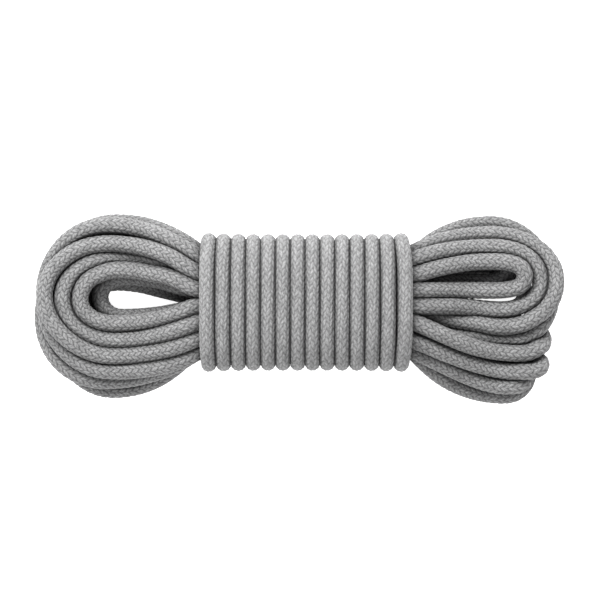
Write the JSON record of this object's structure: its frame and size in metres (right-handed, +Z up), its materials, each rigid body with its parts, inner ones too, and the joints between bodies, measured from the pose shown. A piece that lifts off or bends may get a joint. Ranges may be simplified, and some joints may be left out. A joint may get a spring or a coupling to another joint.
{
  "type": "dynamic climbing rope",
  "caption": "Braided kernmantle climbing rope folded into long loops and wrapped tightly round the waist as a hank, with sleeved and fused ends tucked underneath.",
  "frame": {"origin": "centre of the hank's box, on the surface it lies on", "axes": "+X along the hank from the left loops to the right loops, +Y across it towards the side where the loops fan out level, +Z up"},
  "size_m": [0.328, 0.1166, 0.0542],
  "materials": {
    "sheath_fabric": "braided heathered grey polyamide yarn, matt",
    "core_fabric": "laid undyed polyamide strands",
    "tracer_fabric": "dyed thread",
    "sleeve_plastic": "heat-shrunk tube, satin, drawn down over the braid",
    "fused_polyamide": "melted and set rope end, uneven and slightly glossy"
  },
  "bodies": {
    "root": {"first_end_core_strand_1": "core_fabric", "first_end_core_strand_10": "core_fabric", "first_end_core_strand_11": "core_fabric", "first_end_core_strand_12": "core_fabric", "first_end_core_strand_2": "core_fabric", "first_end_core_strand_3": "core_fabric", "first_end_core_strand_4": "core_fabric", "first_end_core_strand_5": "core_fabric", "first_end_core_strand_6": "core_fabric", "first_end_core_strand_7": "core_fabric", "first_end_core_strand_8": "core_fabric", "first_end_core_strand_9": "core_fabric", "first_end_fused_tip": "fused_polyamide", "first_end_sheath": "sheath_fabric", "first_end_sleeve": "sleeve_plastic", "first_end_tracer_thread": "tracer_fabric", "left_loops": "sheath_fabric", "right_loops": "sheath_fabric", "second_end_core_strand_1": "core_fabric", "second_end_core_strand_10": "core_fabric", "second_end_core_strand_11": "core_fabric", "second_end_core_strand_12": "core_fabric", "second_end_core_strand_2": "core_fabric", "second_end_core_strand_3": "core_fabric", "second_end_core_strand_4": "core_fabric", "second_end_core_strand_5": "core_fabric", "second_end_core_strand_6": "core_fabric", "second_end_core_strand_7": "core_fabric", "second_end_core_strand_8": "core_fabric", "second_end_core_strand_9": "core_fabric", "second_end_fused_tip": "fused_polyamide", "second_end_sheath": "sheath_fabric", "second_end_sleeve": "sleeve_plastic", "second_end_tracer_thread": "tracer_fabric", "waist_bundle": "sheath_fabric", "waist_wraps": "sheath_fabric"}
  },
  "joints": []
}
